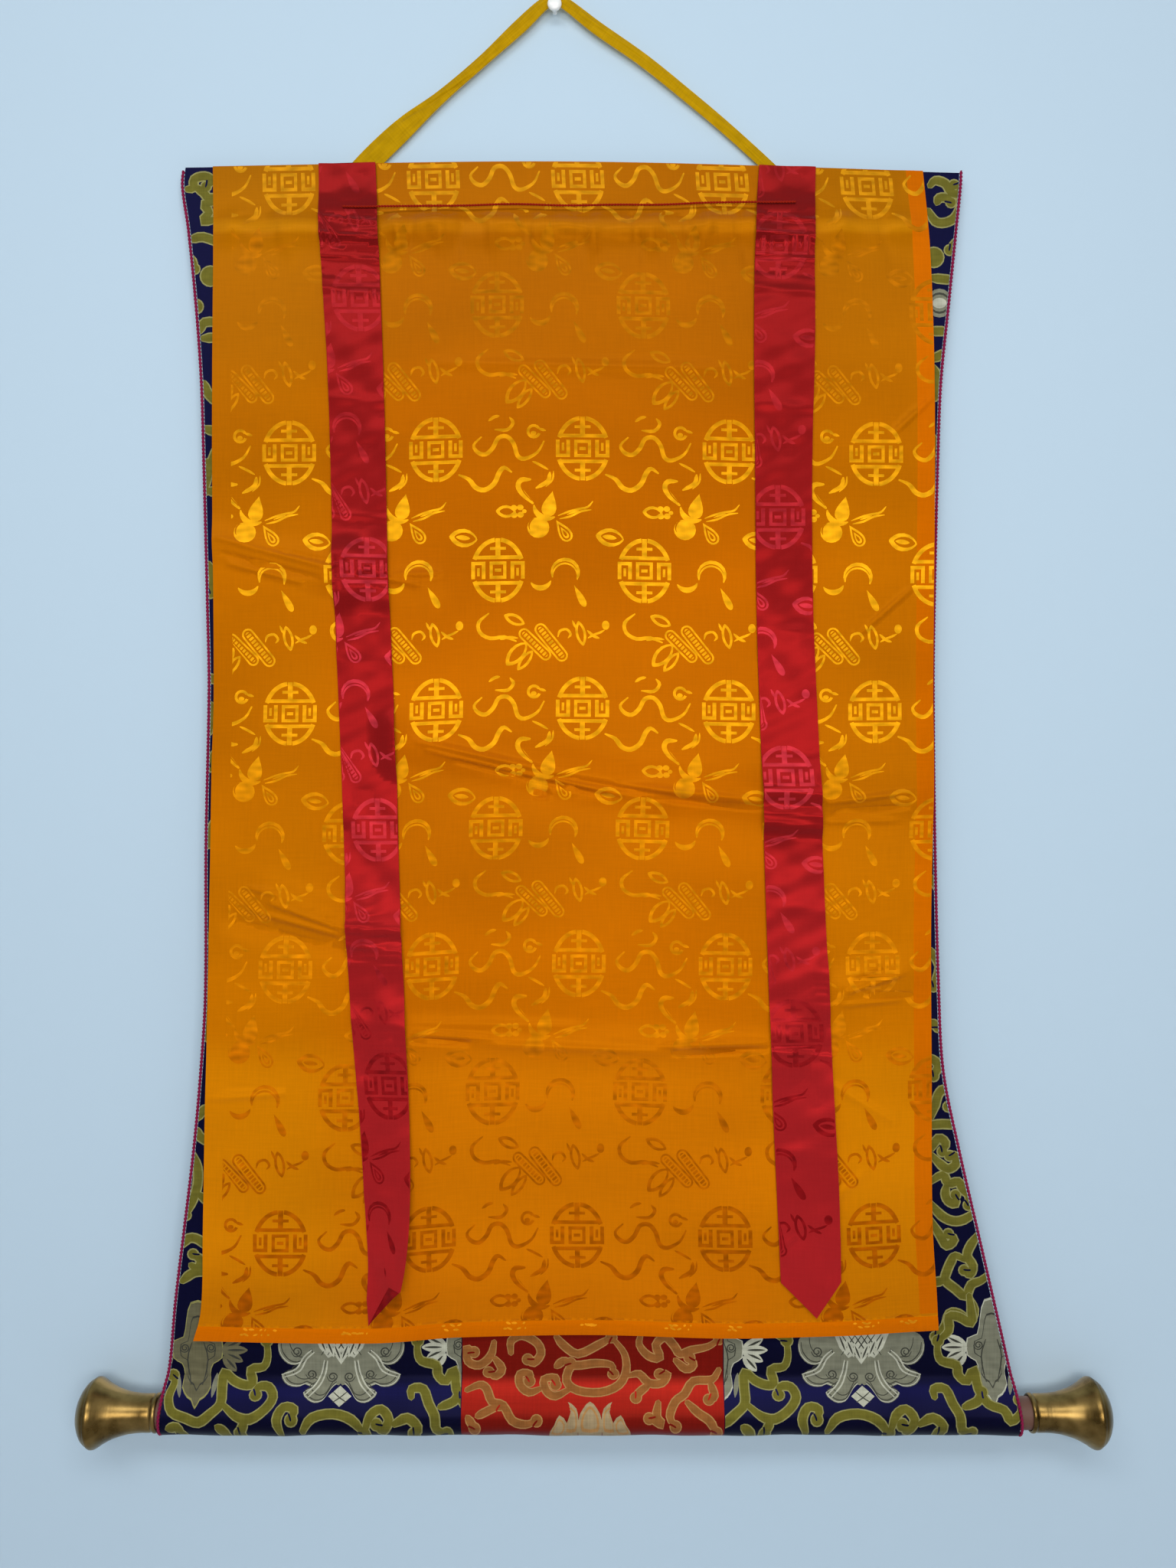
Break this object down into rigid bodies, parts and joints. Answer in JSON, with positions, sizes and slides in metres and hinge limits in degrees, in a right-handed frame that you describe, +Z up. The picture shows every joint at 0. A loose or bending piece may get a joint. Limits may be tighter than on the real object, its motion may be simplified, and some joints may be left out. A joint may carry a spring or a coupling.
{
  "type": "thangka scroll painting with wall pin",
  "caption": "Brocade-mounted scroll with its silk veil let down, red streamers, a brass-capped bottom rod and a tape loop hung on a wall pin.",
  "frame": {"origin": "the middle of the pin's flat back end, where it meets the wall", "axes": "+Z up, +Y into the wall, so the face looks along -Y, and +X to the viewer's right"},
  "size_m": [0.7159, 0.0481, 1.0046],
  "materials": {
    "navy_brocade": "woven figured silk",
    "red_brocade": "woven figured silk",
    "canvas": "plain weave",
    "edge_cord": "twisted cord",
    "veil_silk": "satin damask",
    "ribbon_silk": "satin damask",
    "red_cord": "twisted cord",
    "loop_tape": "silk tape",
    "pin_white": "gloss",
    "rod_wood": "bare turned wood",
    "cap_brass": "worn polish"
  },
  "bodies": {
    "root": {"brocade_left": "navy_brocade", "brocade_right": "navy_brocade", "brocade_top": "navy_brocade", "brocade_door": "red_brocade", "picture_panel": "canvas", "piping_left": "edge_cord", "piping_right": "edge_cord", "veil": "veil_silk", "ribbon_left": "ribbon_silk", "ribbon_right": "ribbon_silk", "veil_cord": "red_cord", "hanging_loop": "loop_tape", "wall_pin": "pin_white", "bottom_rod": "rod_wood", "knob_left": "cap_brass", "knob_right": "cap_brass"}
  },
  "joints": []
}
